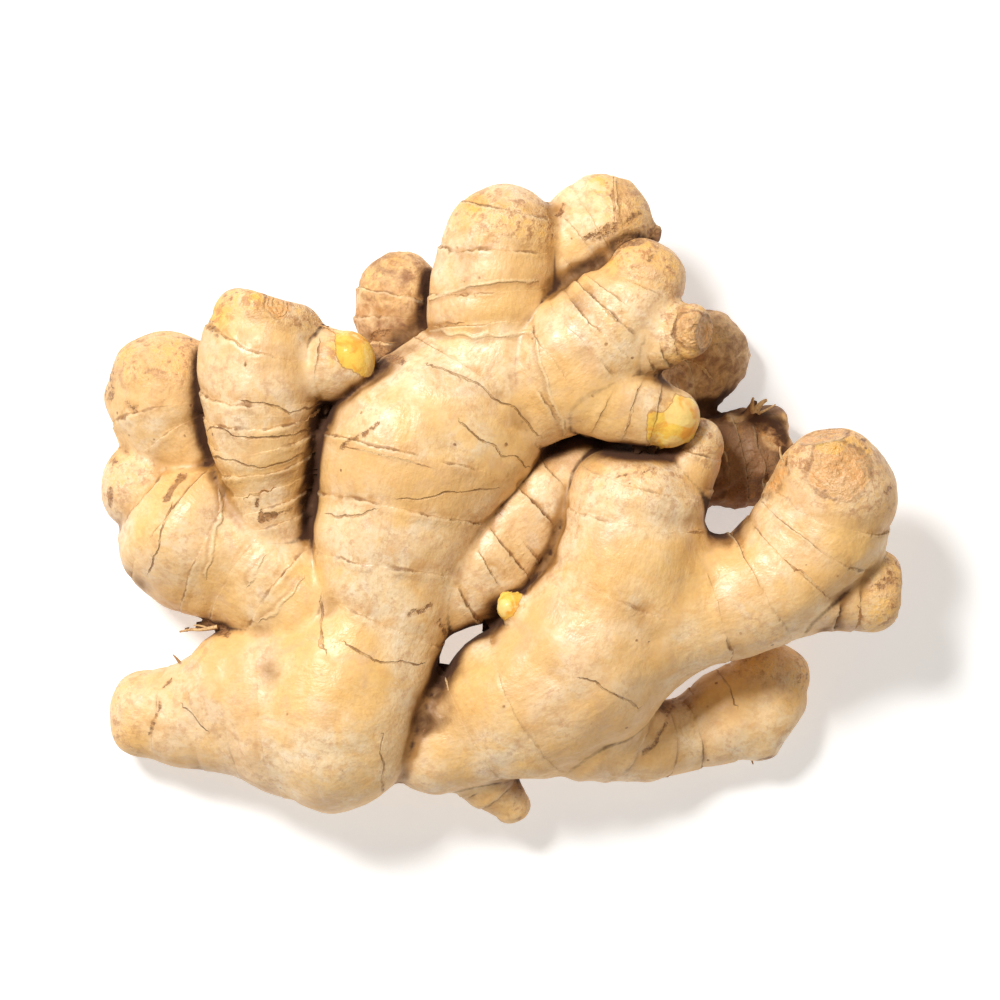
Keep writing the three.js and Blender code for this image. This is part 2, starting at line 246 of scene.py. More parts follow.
def smooth_curve(path, pieces=24):
    """Points and radii on the curve through the places, evenly numbered between them."""
    places = np.array(path, float)
    places = np.vstack([2 * places[0] - places[1], places, 2 * places[-1] - places[-2]])
    rows = []
    for k in range(1, len(places) - 2):
        p0, p1, p2, p3 = places[k - 1:k + 3]
        d0 = max(np.sum((p1 - p0)[:3] ** 2) ** 0.25, 1e-4)
        d1 = max(np.sum((p2 - p1)[:3] ** 2) ** 0.25, 1e-4)
        d2 = max(np.sum((p3 - p2)[:3] ** 2) ** 0.25, 1e-4)
        start = ((p1 - p0) / d0 - (p2 - p0) / (d0 + d1) + (p2 - p1) / d1) * d1
        stop = ((p2 - p1) / d1 - (p3 - p1) / (d1 + d2) + (p3 - p2) / d2) * d1
        start[3] = 0.5 * (p2 - p0)[3]
        stop[3] = 0.5 * (p3 - p1)[3]
        last = k == len(places) - 3
        t = np.linspace(0, 1, pieces + 1)[: None if last else -1, None]
        rows.append((2 * t ** 3 - 3 * t ** 2 + 1) * p1 + (t ** 3 - 2 * t ** 2 + t) * start
                    + (3 * t ** 2 - 2 * t ** 3) * p2 + (t ** 3 - t ** 2) * stop)
    return np.vstack(rows)


def middle_line(finger, number):
    fine = smooth_curve(finger["path"])
    gaps = np.linalg.norm(np.diff(fine[:, :3], axis=0), axis=1)
    travelled = np.concatenate([[0], np.cumsum(gaps)])
    length = travelled[-1]
    s = np.linspace(0, length, max(3, int(length / STEP) + 1))
    centre = np.stack([np.interp(s, travelled, fine[:, axis]) for axis in range(3)], axis=1)
    radius = np.interp(s, travelled, fine[:, 3])
    tangent = np.gradient(centre, s, axis=0)
    tangent /= np.linalg.norm(tangent, axis=1, keepdims=True)
    side = np.cross(tangent, (0, 0, 1))
    side /= np.linalg.norm(side, axis=1, keepdims=True)
    top = np.cross(side, tangent)
    draw = seeded(SEED + number)
    phases = [next(draw) * 2 * math.pi for _ in range(3)]
    return dict(finger, s=s, centre=centre, radius=radius, slope=np.gradient(radius, s), tangent=tangent,
                side=side, top=top, length=length, phases=phases, number=number, slant=SCAR_SLANT)


lines = [middle_line(finger, number) for number, finger in enumerate(FINGERS.values())]
names = list(FINGERS)
for name, (start, amount) in SLANTED_SCARS.items():
    lines[names.index(name)]["phases"][2] = start
    lines[names.index(name)]["slant"] = amount
print("middle lines from", round(min(line["length"] for line in lines), 1), "to",
      round(max(line["length"] for line in lines), 1), "mm")


# %% [markdown]
# Nothing that grew is even. This noise gives each point of space a smooth random value, which the
# lumps, the wavering scar edges and the pits all draw on.

# %% Noise in space
NOISE_SIZE = 64
noise_values = np.random.default_rng(11).uniform(-1, 1, (NOISE_SIZE,) * 3)


def noise(points, wavelength, shift=0.0):
    """A smooth random value from -1 to 1 at each point, with lumps about a wavelength apart."""
    q = points / wavelength + np.reshape(shift, (-1, 1))
    low = np.floor(q).astype(int)
    f = q - low
    f = f * f * (3 - 2 * f)
    total = np.zeros(len(q))
    for dx in (0, 1):
        wx = f[:, 0] if dx else 1 - f[:, 0]
        for dy in (0, 1):
            wy = f[:, 1] if dy else 1 - f[:, 1]
            for dz in (0, 1):
                wz = f[:, 2] if dz else 1 - f[:, 2]
                corner = (low + (dx, dy, dz)) % NOISE_SIZE
                total += wx * wy * wz * noise_values[corner[:, 0], corner[:, 1], corner[:, 2]]
    return total


print("noise at the origin:", round(float(noise(np.zeros((1, 3)), 5.0)[0]), 3))


# %% [markdown]
# Seen from one finger, a point of space has a distance along it, a place across it, and a distance
# from its skin. A tip that once carried a stem ends in a shallow round dish.

# %% Distance from one finger
DISH_DEPTH = 0.9
DISH_SHARE = 0.62
DISH_SLOPE = 0.14
DISH_SOFT = 0.35
NO_DISH = 9.0


def near_finger(line, points):
    """How the points lie on one finger: along, across, rise, out, and their distance from its skin."""
    centre = line["centre"]
    squares = (points ** 2).sum(1)[:, None] - 2 * points @ centre.T + (centre ** 2).sum(1)
    nearest = squares.argmin(1)
    offset = points - centre[nearest]
    ahead = (offset * line["tangent"][nearest]).sum(1)
    other = np.clip(nearest + np.where(ahead > 0, 1, -1), 0, len(centre) - 1)
    behind = ((points - centre[other]) * line["tangent"][other]).sum(1)
    passed = ahead * behind < 0
    share = np.where(passed, ahead / np.where(passed, ahead - behind, 1.0), 0.0)
    place = nearest + share * (other - nearest)
    before = np.clip(place.astype(int), 0, len(centre) - 2)
    share = (place - before)[:, None]

    def between(key):
        return line[key][before] * (1 - share) + line[key][before + 1] * share

    offset = points - between("centre")
    along = place * line["s"][1] + np.where(nearest == other, ahead, 0.0)
    across = (offset * between("side")).sum(1)
    rise = (offset * between("top")).sum(1) / THICKNESS
    angle = np.arctan2(rise, across)
    two, three, skew = line["phases"]
    waves = np.sin(2 * angle + two) + 0.6 * np.sin(3 * angle + three)
    out = np.hypot(across, rise) / (1 + OUT_OF_ROUND * waves)
    length = line["length"]
    first, last = line["radius"][0], line["radius"][-1]
    reach = last * line["blunt"]
    body = (out - np.interp(along, line["s"], line["radius"])) / np.sqrt(1 + line["slope"][nearest] ** 2)
    start = np.hypot(along, out) - first
    power = SQUARE_END if line["end"] == "scar" else 2
    beyond = np.maximum(along - length, 0) / reach
    tip = ((beyond ** power + (out / last) ** power) ** (1 / power) - 1) * min(last, reach)
    distance = np.where(along < 0, start, np.where(along > length, tip, body))
    dish = np.full(len(points), NO_DISH)
    if line["end"] == "scar":
        dish_radius = DISH_SHARE * last
        depth = min(DISH_DEPTH, DISH_SLOPE * last)
        dish = np.where(along > length, out / dish_radius, NO_DISH)
        level = along - length - CAP_SHARE * reach + depth * np.clip(1.25 - dish, 0, 1) ** 0.7
        gap = np.clip(0.5 + 0.5 * (level - distance) / DISH_SOFT, 0, 1)
        distance = distance * (1 - gap) + level * gap + DISH_SOFT * gap * (1 - gap)
    inside = np.clip(along / 3, 0, 1) * np.clip((length + 1 - along) / 3, 0, 1)
    slanted = along + inside * line["slant"] * np.sin(angle + skew + SCAR_TWIST * along)
    return dict(along=along, across=across, rise=rise, angle=angle, out=out, distance=distance,
                slanted=slanted, dish=dish, nearest=nearest)


x, y, z, size = FINGERS["trunk"]["path"][1]
check = near_finger(lines[names.index("trunk")], np.array([[x, y, z + size * THICKNESS]]))
print("a point on top of the trunk is", round(float(check["distance"][0]), 2), "mm from its skin")


# %% [markdown]
# Where fingers of one family meet, the flesh runs on in a soft fillet. Where strangers meet, they only
# press against each other and leave a crease. Both are a soft minimum of distances, wide or narrow.

# %% Distance from the whole root
SOFT_JOIN = 5.0
CREASE_JOIN = 1.2
CREASE_WIDTH = 1.6
REACH = 7.0
FAR_AWAY = 60.0

families = sorted({line["family"] for line in lines})


def soft_minimum(stack, width):
    """The least of several distances, with a fillet where two of them differ by less than the width."""
    low = stack[0]
    for other in stack[1:]:
        share = np.maximum(width - np.abs(low - other), 0) / width
        low = np.minimum(low, other) - share * share * width / 4
    return low


def whole_root(points):
    """Distance from the root's skin, the crease depth, and each finger's reading of the points."""
    count = len(points)
    readings = []
    per_finger = np.full((len(lines), count), FAR_AWAY)
    for line in lines:
        room = line["radius"].max() + REACH
        low = line["centre"].min(0) - room
        high = line["centre"].max(0) + room
        here = np.flatnonzero(((points > low) & (points < high)).all(1))
        reading = near_finger(line, points[here]) if len(here) else None
        if reading:
            per_finger[line["number"], here] = reading["distance"]
        readings.append((here, reading))
    by_family = np.stack([
        soft_minimum(per_finger[[line["number"] for line in lines if line["family"] == family]], SOFT_JOIN)
        for family in families])
    distance = soft_minimum(by_family, CREASE_JOIN)
    ordered = np.partition(by_family, 1, axis=0)
    crease = np.exp(-np.maximum(ordered[1] - ordered[0], 0) / CREASE_WIDTH)
    return distance, crease, per_finger, readings


print("families of fingers:", len(families))


# %% [markdown]
# The skin starts as a copy of the CAD solid. Its loose triangles are merged, and a remesh wraps it in
# small even quads. Each vertex then moves along its normal until it lies on the grown form, and slides
# a little towards its neighbours' middle, so that the quads stay even. A coarse wrap comes first: it
# finds the form, and the fine one over it then starts with no folds in the creases.

# %% Tools for wrapping
COARSE_VOXEL = 0.0012
FINE_VOXEL = 0.00079
LARGEST_STEP = 0.8


def pick(*pieces):
    """Select these pieces and nothing else, the first of them active."""
    bpy.ops.object.select_all(action="DESELECT")
    for piece in pieces:
        piece.select_set(True)
    bpy.context.view_layer.objects.active = pieces[0]


def wrap(piece, voxel):
    pick(piece)
    remesh = piece.modifiers.new("remesh", "REMESH")
    remesh.mode = "VOXEL"
    remesh.voxel_size = voxel
    bpy.ops.object.modifier_apply(modifier=remesh.name)


class Net:
    """A quad mesh's vertices in millimetres, with its edges and faces, for moving them all at once."""

    def __init__(self, mesh):
        self.mesh = mesh
        self.count = len(mesh.vertices)
        points = np.empty(self.count * 3)
        mesh.vertices.foreach_get("co", points)
        self.points = points.reshape(-1, 3) / MM
        edges = np.empty(len(mesh.edges) * 2, int)
        mesh.edges.foreach_get("vertices", edges)
        self.edges = edges.reshape(-1, 2)
        corners = np.empty(len(mesh.loops), int)
        mesh.loops.foreach_get("vertex_index", corners)
        self.corners = corners.reshape(-1, 4)
        self.links = np.bincount(self.edges.ravel(), minlength=self.count)[:, None].astype(float)

    def mean(self, values):
        """The mean of each vertex's neighbours."""
        flat = values.reshape(self.count, -1)
        total = np.zeros_like(flat)
        one, other = self.edges.T
        for axis in range(flat.shape[1]):
            total[:, axis] += np.bincount(one, flat[other, axis], minlength=self.count)
            total[:, axis] += np.bincount(other, flat[one, axis], minlength=self.count)
        return (total / self.links).reshape(values.shape)

    def normals(self):
        a, b, c, d = (self.points[self.corners[:, k]] for k in range(4))
        faces = np.cross(c - a, d - b)
        total = np.zeros_like(self.points)
        for k in range(4):
            for axis in range(3):
                total[:, axis] += np.bincount(self.corners[:, k], faces[:, axis], minlength=self.count)
        return total / np.maximum(np.linalg.norm(total, axis=1, keepdims=True), 1e-9)

    def store(self):
        self.mesh.vertices.foreach_set("co", (self.points * MM).ravel())
        self.mesh.update()


def lay_on_form(net, turns, slide):
    for _ in range(turns):
        normals = net.normals()
        drift = net.mean(net.points) - net.points
        drift -= normals * (drift * normals).sum(1, keepdims=True)
        net.points += slide * drift
        distance = whole_root(net.points)[0]
        net.points -= normals * np.clip(distance, -LARGEST_STEP, LARGEST_STEP)[:, None]
    return distance


# %% [markdown]
# The solid's triangles are merged at their shared corners first, because a remesh needs one closed
# skin. The distances printed are what is left between the mesh and the grown form.

# %% Wrap the CAD solid twice
cad_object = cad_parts[ROOT_NODE]
rhizome = cad_object.copy()
rhizome.data = cad_object.data.copy()
rhizome.name = "ginger_skin"
rhizome.data.name = "ginger_skin"
bpy.context.collection.objects.link(rhizome)
pick(rhizome)
bpy.ops.object.mode_set(mode="EDIT")
bpy.ops.mesh.select_all(action="SELECT")
bpy.ops.mesh.remove_doubles(threshold=0.000002)
bpy.ops.object.mode_set(mode="OBJECT")

wrap(rhizome, COARSE_VOXEL)
net = Net(rhizome.data)
distance = lay_on_form(net, turns=5, slide=0.6)
net.store()
print("coarse quads:", len(rhizome.data.polygons), "left over, mm:", np.abs(distance).mean().round(3))

wrap(rhizome, FINE_VOXEL)
net = Net(rhizome.data)
distance = lay_on_form(net, turns=3, slide=0.5)
print("fine quads:", len(rhizome.data.polygons), "left over, mm:", np.abs(distance).mean().round(3))


# %% [markdown]
# Leaf scars are what makes ginger look like ginger. Each was a leaf's ring of attachment: the band
# before it swells a little towards it and ends in a thin torn lip, and the next band starts lower.
# The lip wavers round the finger, and here and there it has worn away.

# %% Leaf scars and lumps as heights
LIP = 0.46
BAND_SWELL = 0.34
RIM_WAVE = 0.35
RIM_TEAR = 0.14
LIP_RISE = 1.1
LIP_FALL = 0.7
LIP_FOOT = 0.28
EVEN_STRENGTH = 0.62
WORN_STRENGTH = 0.85
BLEND = 0.7
LUMPS = ((11.0, 0.8), (4.8, 0.36), (1.9, 0.10))
WRINKLES = ((3.6, 0.75), (1.8, 0.30))
WRINKLED = {
    "brown_finger": 0.62, "dark_back_finger": 1.0, "low_back_finger": 0.72, "dried_shoot": 1.0,
    "brown_eye": 0.9, "left_finger": 0.2, "top_finger": 0.2, "rootlet": 0.8, "foot": 0.12,
    "middle_finger": 0.15, "high_side_knob": 0.15}
FAINT = {
    "main_branch": 0.45, "branch_lobe": 0.55, "right_arm": 0.75, "lower_left_finger": 0.5, "trunk": 0.8,
    "lower_finger": 0.7, "left_lobe": 0.85, "high_side_bud": 0.6, "high_finger": 0.8,
    "second_finger": 0.9, "upper_lobe": 0.85, "top_finger": 0.6}
TIPS = {
    "left_finger": 1.0, "second_finger": 1.0, "upper_lobe": 0.8, "top_finger": 1.0, "high_finger": 1.0,
    "high_side_knob": 1.0, "right_arm_end": 1.0, "right_arm": 0.6, "right_arm_knob": 0.8,
    "lower_finger": 0.9, "branch_lobe": 0.4, "branch_knob": 0.9, "lower_left_finger": 0.5,
    "left_lobe": 0.7, "brown_finger": 0.6, "low_back_finger": 0.6, "foot": 0.4, "under_trunk_knob": 0.7,
    "under_branch_knob": 0.7}


def scar_reading(line, reading, points):
    """How far past its nearest scar a point is, the scar's strength and number, the band's height."""
    slanted = reading["slanted"] + RIM_WAVE * noise(points, 3.1, line["number"])
    slanted = slanted + RIM_TEAR * noise(points, 1.1, 7.3)
    ends = line["length"] + line["radius"][-1]
    marks = np.array([-30.0] + list(line["scars"]) + [ends + 12.0])
    nearest = np.abs(slanted[:, None] - marks[None]).argmin(1)
    past = slanted - marks[nearest]
    after = np.searchsorted(marks, slanted).clip(1, len(marks) - 1)
    band = marks[after] - marks[after - 1]
    share = (slanted - marks[after - 1]) / band
    swell = BAND_SWELL * np.sin(np.pi * np.clip(share, 0, 1)) * np.minimum(band / 8, 1)
    worn = noise(points, 4.7, 3.0 + line["number"] + 0.5 * nearest)
    strength = np.clip(EVEN_STRENGTH + WORN_STRENGTH * worn, 0.08, 1.0)
    strength = strength * FAINT.get(names[line["number"]], 1.0)
    lip = np.where(past < 0, np.exp(past / LIP_RISE), -LIP_FOOT * np.exp(-past / LIP_FALL))
    return past, strength, nearest, swell + LIP * strength * lip


def heights(points, per_finger, readings):
    """The height of the scars and lumps above the grown form, and the nearest scar's reading."""
    weights = np.exp(-(per_finger - per_finger.min(0)) / BLEND)
    weights /= weights.sum(0)
    height = np.zeros(len(points))
    owner = per_finger.argmin(0)
    past = np.full(len(points), 9.0)
    strength = np.zeros(len(points))
    number = np.zeros(len(points))
    for line, (here, reading) in zip(lines, readings):
        if reading is None:
            continue
        one_past, one_strength, one_number, one_height = scar_reading(line, reading, points[here])
        height[here] += weights[line["number"], here] * one_height * min(1.0, line["radius"][-1] / 5)
        mine = owner[here] == line["number"]
        past[here[mine]] = one_past[mine]
        number[here[mine]] = one_number[mine]
        certain = np.clip(weights[line["number"], here[mine]] * 2 - 1, 0, 1)
        strength[here[mine]] = one_strength[mine] * certain
    for wavelength, size in LUMPS:
        height += size * noise(points, wavelength, 1.7 * wavelength)
    shrunk = np.array([WRINKLED.get(name, 0.0) for name in names])[owner]
    for wavelength, size in WRINKLES:
        height += shrunk * size * (0.35 - np.abs(noise(points, wavelength, 4.3)) * 1.6)
    return height, owner, past, strength, number


# %% [markdown]
# The quads near a scar are drawn in towards it from both sides, so that the lip's step falls between
# two rows of vertices and comes out crisp. Then every vertex takes its height.

# %% Raise the scars and lumps
DRAW_IN = 1.0
ROW_GAP = 0.03
RAISE_STEP = 0.7

distance, crease, per_finger, readings = whole_root(net.points)
height, owner, past, strength, number = heights(net.points, per_finger, readings)
tangent = np.zeros_like(net.points)
for line, (here, reading) in zip(lines, readings):
    if reading is not None:
        mine = owner[here] == line["number"]
        tangent[here[mine]] = line["tangent"][reading["nearest"][mine]]
close = np.abs(past) < DRAW_IN
wanted = np.sign(past) * (DRAW_IN * (np.abs(past) / DRAW_IN) ** 2 + ROW_GAP)
slide = np.where(close, (wanted - past) * strength, 0.0) * (1 - crease)
net.points += tangent * slide[:, None]

for turn in range(3):
    normals = net.normals()
    distance, crease, per_finger, readings = whole_root(net.points)
    height, owner, past, strength, number = heights(net.points, per_finger, readings)
    net.points -= 0.9 * normals * np.clip(distance - height, -RAISE_STEP, RAISE_STEP)[:, None]

for turn in range(4):
    folded = np.clip((crease[:, None] - 0.55) / 0.3, 0, 1)
    net.points += 0.6 * folded * (net.mean(net.points) - net.points)
net.points[:, 2] = np.maximum(net.points[:, 2], 0.0)
print("heights from", round(float(height.min()), 2), "to", round(float(height.max()), 2), "mm")
print("skin box in mm:", net.points.min(0).round(1), net.points.max(0).round(1))


# %% [markdown]
# Now the moved vertices go into the mesh. It stands for the CAD solid, so that one is hidden, and it
# hangs from the root's empty.

# %% Put the shape into the mesh
net.store()
pick(rhizome)
bpy.ops.object.shade_smooth()
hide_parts(ROOT_NODE)
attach(rhizome, "root")


# %% [markdown]
# The finish needs to know things that a mesh alone doesn't say: where along and across its finger a
# spot lies, how far it is from a leaf scar, whether it lies in a hollow, in a crease, or on a bud.
# Each goes onto the vertices as an attribute, in millimetres or from 0 to 1, and the material reads it.

# %% Tools for the attributes
def store_number(name, values):
    attribute = rhizome.data.attributes.new(name, "FLOAT", "POINT")
    attribute.data.foreach_set("value", values.astype(np.float32))


def store_vector(name, values):
    attribute = rhizome.data.attributes.new(name, "FLOAT_VECTOR", "POINT")
    attribute.data.foreach_set("vector", values.astype(np.float32).ravel())


def fade(values, low, high):
    """0 below low, 1 above high, and smooth between; the other way round where high is lower."""
    share = np.clip((values - low) / (high - low), 0, 1)
    return share * share * (3 - 2 * share)


def smoothed(values, turns):
    for _ in range(turns):
        values = 0.3 * values + 0.7 * net.mean(values)
    return values


# %% [markdown]
# Each finger gives its readings to the vertices that it owns. Where the owner changes, a seam fades
# out lines and fibres, so that they don't jump. Shelter is how little room there is above the skin.

# %% Place on the finger, scars, hollows
distance, crease, per_finger, readings = whole_root(net.points)
height, owner, past, strength, number = heights(net.points, per_finger, readings)
normals = net.normals()
grown = np.zeros_like(net.points)
dish = np.full(net.count, NO_DISH)
band_tone = np.zeros(net.count)
tip = np.zeros(net.count)
for line, (here, reading) in zip(lines, readings):
    if reading is None:
        continue
    mine = owner[here] == line["number"]
    spots = here[mine]
    along = reading["along"][mine] + 40.0 * line["number"]
    grown[spots] = np.stack([reading["across"][mine], along, reading["rise"][mine]], axis=1)
    dish[spots] = reading["dish"][mine]
    to_end = line["length"] + 0.6 * line["radius"][-1] - reading["along"][mine]
    tip[spots] = TIPS.get(names[line["number"]], 0.0) * fade(to_end, 8.0, 1.0)
    bands = np.searchsorted(line["scars"], reading["slanted"][mine]) if line["scars"] else 0
    band_tone[spots] = np.sin(12.9898 * (bands + 3.1 * line["number"])) * 43.75 % 1.0
store_vector("grown", grown)
turn = np.where(number % 2 == 0, 1.0, -1.0)
store_number("past_tent", past * turn)
store_number("past_turn", turn)
differs = owner[net.edges[:, 0]] != owner[net.edges[:, 1]]
border = np.zeros(net.count)
border[net.edges[differs].ravel()] = 1.0
seam = np.clip(3.0 * smoothed(border, 3), 0, 1)
strength = strength * (1 - seam)
store_number("seam", seam)
store_number("strength", strength)
store_number("band_tone", smoothed(band_tone, 1))
store_number("tip", smoothed(tip, 3))
store_number("crease", fade(smoothed(crease, 1), 0.62, 1.0))
hollow_near = ((smoothed(net.points, 8) - net.points) * normals).sum(1)
hollow_far = ((smoothed(net.points, 45) - net.points) * normals).sum(1)
store_number("hollow", fade(0.6 * hollow_near / 0.25 + 0.7 * hollow_far / 0.9, 0.0, 1.0))
# Shelter sets, further down, where shade is painted into the skin's colour.
shelter = np.zeros(net.count)
for reach, weight in ((1.0, 0.30), (2.2, 0.30), (4.5, 0.25), (9.0, 0.15)):
    clear = whole_root(net.points + normals * reach)[0]
    shelter += weight * np.clip(1 - clear / reach, 0, 1.3)
shelter = smoothed(shelter, 1)
store_number("shelter", shelter)
print("shelter, middle and highest:", round(float(np.median(shelter)), 3), round(float(shelter.max()), 3))
print("hollows from", round(float(hollow_far.min()), 2), "to", round(float(hollow_far.max()), 2), "mm")


# %% [markdown]
# Some fingers are browner than the rest, and the young buds have a clear yellow tip. Places read
# on the photograph, in its pixels, say where there is a brown patch, a nick or a torn line. Only skin
# that the camera sees from above takes such a mark, and the far side gets its share by noise.

# %% Brown fingers and yellow buds
brown = np.zeros(net.count)
for name, amount in WRINKLED.items():
    brown[owner == names.index(name)] = amount
brown = smoothed(brown, 6)
BUDS = {"second_side_bud": ((-25.2, 26.5, 31), 5.2), "high_side_bud": ((30.5, 13.2, 32), 5.6),
        "yellow_eye": ((0.5, -18.4, 26), 2.9), "right_arm_end": ((57.5, 9.5, 32), 3.2)}
yellow = np.zeros(net.count)
for name, (place, size) in BUDS.items():
    away = np.linalg.norm(net.points - np.array(place), axis=1) + 1.6 * noise(net.points, 3.2, 5.1)
    kin = [k for k, other in enumerate(names) if FINGERS[other]["family"] == FINGERS[name]["family"]]
    yellow = np.maximum(yellow, fade(away, size, 0.76 * size) * np.isin(owner, kin))
brown = brown * (1 - yellow)
store_number("yellow", yellow)
print("yellow share of the skin:", round(float(yellow.mean()), 4))


# %% [markdown]
# A patch has a strength, a width in pixels and the places that it runs through. A line of kind 1 is
# a dark crack, and one of kind -1 is a pale fold: a painted highlight on its ridge, with painted shade
# along one side.

# %% Marks read from the photograph
PATCHES = [
    (0.9, 3.5, [(103, 393)]), (0.6, 5, [(138, 338)]), (0.7, 4, [(193, 340)]),
    (0.5, 6, [(112, 372), (110, 398)]), (0.9, 5, [(166, 500), (172, 488), (182, 478)]),
    (0.8, 4, [(112, 488), (113, 506)]), (0.6, 7, [(113, 460)]), (0.5, 5, [(206, 318), (214, 334)]),
    (0.7, 3, [(245, 363)]), (0.95, 5, [(262, 519), (275, 516)]), (0.6, 2, [(275, 516), (295, 508)]),
    (0.8, 3, [(262, 514), (258, 500)]), (0.8, 3, [(178, 662)]), (0.8, 3, [(165, 686), (172, 680)]),
    (0.6, 2.5, [(160, 700), (148, 735)]), (0.9, 4, [(204, 624), (228, 632)]),
    (0.7, 3, [(342, 448), (380, 425)]), (0.6, 5, [(408, 616), (430, 606)]),
    (0.8, 2.5, [(440, 620), (445, 634)]), (0.5, 3, [(495, 198)]), (0.8, 10, [(652, 235)]),
    (0.7, 4, [(560, 215), (566, 205)]), (0.6, 5, [(610, 200)]), (0.7, 5, [(625, 222), (640, 214)]),
    (0.5, 4, [(585, 240), (600, 235)]), (0.7, 14, [(700, 334)]), (0.6, 7, [(652, 258)]),
    (0.7, 5, [(690, 322), (708, 345)]), (0.6, 2, [(615, 478), (655, 470)]), (0.6, 3, [(630, 485)]),
    (0.6, 4, [(650, 645)]), (0.7, 3, [(675, 695), (660, 730), (645, 755)]),
    (0.6, 5, [(775, 755), (755, 768)]), (0.6, 10, [(838, 470)]), (0.7, 5, [(822, 436), (850, 430)]),
    (0.7, 6, [(890, 490)]), (0.6, 9, [(880, 590), (893, 575)]), (0.6, 5, [(865, 440)]),
    (0.8, 6, [(380, 350), (400, 360)]), (0.7, 5, [(388, 330), (372, 338)]),
    (0.4, 9, [(525, 800), (515, 780)]), (0.55, 11, [(697, 332)]), (0.75, 5, [(652, 258)]),
    (0.6, 8, [(600, 236), (616, 228)]), (0.8, 5, [(662, 236)]), (0.8, 6, [(622, 246), (640, 240)]),
    (0.7, 4, [(276, 289), (264, 296)]), (0.7, 3, [(825, 437), (832, 428)]),
    (0.45, 5, [(455, 195), (470, 189)]), (0.5, 5, [(126, 402), (134, 410)]),
    (0.45, 4, [(142, 385), (150, 378)])
]
LINES = [
    (-1, [(222, 495), (216, 530), (205, 575)]), (-1, [(300, 580), (285, 600), (265, 618)]),
    (-1, [(264, 560), (250, 580)]), (1, [(170, 510), (160, 545), (150, 570)]),
    (1, [(322, 600), (322, 650)]), (1, [(187, 708), (207, 731)]),
    (1, [(330, 515), (350, 518), (372, 512)]), (1, [(400, 500), (440, 494), (495, 487)]),
    (1, [(345, 643), (380, 662), (420, 662)]), (1, [(460, 425), (480, 440), (505, 455), (525, 462)]),
    (-1, [(430, 298), (465, 290), (500, 280), (535, 280)]), (1, [(382, 740), (384, 770), (381, 800)]),
    (-1, [(430, 330), (470, 335), (530, 335)]), (1, [(432, 365), (475, 385), (500, 400), (540, 433)]),
    (-1, [(540, 345), (543, 370), (550, 400), (565, 435)]), (1, [(720, 672), (728, 690), (735, 705)]),
    (1, [(585, 680), (612, 690), (635, 705)]), (1, [(245, 400), (290, 412), (322, 405)]),
    (1, [(210, 428), (250, 440), (305, 430)]), (1, [(215, 455), (260, 468), (312, 452)])
]


def photo_place(place):
    """A pixel of the photograph, in millimetres at the height the camera is sharpest at."""
    return np.array([(place[0] - 500) * PHOTO_WIDTH, (500 - place[1]) * PHOTO_WIDTH])


def seen_from_camera(points):
    """Where the camera sees points of the root, in the same flat millimetres."""
    away = (CAMERA_HEIGHT + FOCUS_HEIGHT) / MM - points[:, 2:]
    return points[:, :2] * (CAMERA_HEIGHT / MM) / away


def line_distance(flat, start, stop):
    """Signed distance of flat points from a straight stretch, and how far past its ends they are."""
    way = stop - start
    size = max(float(np.hypot(*way)), 1e-6)
    way = way / size
    offset = flat - start
    t = offset @ way
    beyond = np.maximum(np.maximum(-t, t - size), 0)
    return offset[:, 0] * way[1] - offset[:, 1] * way[0], beyond


# %% [markdown]
# A grid over the picture keeps the highest skin in each cell, which tells what the camera sees.
# Faced scars are the stem scars and the cut end that face it.

# %% Paint the marks onto the vertices
FACED_SCARS = [((838, 470), 28), ((694, 330), 18), ((751, 463), 34), ((278, 303), 13)]
GOLDEN = [
    ((124, 345), 13), ((216, 316), 18), ((640, 250), 14), ((612, 262), 12), ((840, 440), 22),
    ((475, 205), 12), ((276, 300), 13), ((690, 335), 15), ((600, 185), 12), ((782, 415), 9),
    ((862, 450), 14), ((396, 262), 9), ((505, 612), 14), ((345, 352), 26), ((672, 420), 26),
    ((528, 815), 8), ((190, 640), 26), ((255, 300), 16)
]
PALE_FLAKES = [((779, 431), 19), ((735, 413), 10)]
GRID = 0.9
GRID_ROWS = 300
GRID_EDGE = 100
SEEN_DEPTH = 1.8
flat = seen_from_camera(net.points)
cell = ((flat + GRID_EDGE) / GRID).astype(int)
cell = cell[:, 0] * GRID_ROWS + cell[:, 1]
ceiling = np.full(GRID_ROWS * GRID_ROWS, -9.0)
np.maximum.at(ceiling, cell, net.points[:, 2])
seen = (net.points[:, 2] > ceiling[cell] - SEEN_DEPTH) & (normals[:, 2] > 0.05)
wavering = flat + np.stack([noise(net.points, 2.4, 1.3), noise(net.points, 2.4, 8.9)], axis=1) * 0.7

mark = np.zeros(net.count)
for amount, width, places in PATCHES:
    places = [photo_place(place) for place in places]
    for start, stop in zip(places, places[1:] or places):
        side, beyond = line_distance(wavering, start, stop)
        away = np.hypot(side, beyond) if len(places) > 1 else np.hypot(*(wavering - start).T)
        mark = np.maximum(mark, amount * fade(away, width * PHOTO_WIDTH * 1.2, width * PHOTO_WIDTH * 0.3))
crack = np.full(net.count, 5.0)
crack_kind = np.zeros(net.count)
for kind, places in LINES:
    places = [photo_place(place) for place in places]
    for start, stop in zip(places, places[1:]):
        side, beyond = line_distance(wavering, start, stop)
        away = np.hypot(side, beyond)
        nearer = (away < np.abs(crack)) & seen
        crack[nearer] = (np.sign(side) * away)[nearer]
        crack_kind[nearer] = kind * fade(away[nearer], 1.5, 0.75)
for centre, size in FACED_SCARS:
    away = np.hypot(*(wavering - photo_place(centre)).T) / (size * PHOTO_WIDTH)
    dish = np.where(seen & (away < 1.5), np.minimum(dish, away), dish)
store_number("dish", dish)
for centre, size in PALE_FLAKES:
    away = np.hypot(*(wavering - photo_place(centre)).T) / (size * PHOTO_WIDTH)
    brown *= 1 - 0.7 * fade(away, 1.15, 0.7) * (net.points[:, 2] > 3)
store_number("brown", brown)
gold = np.zeros(net.count)
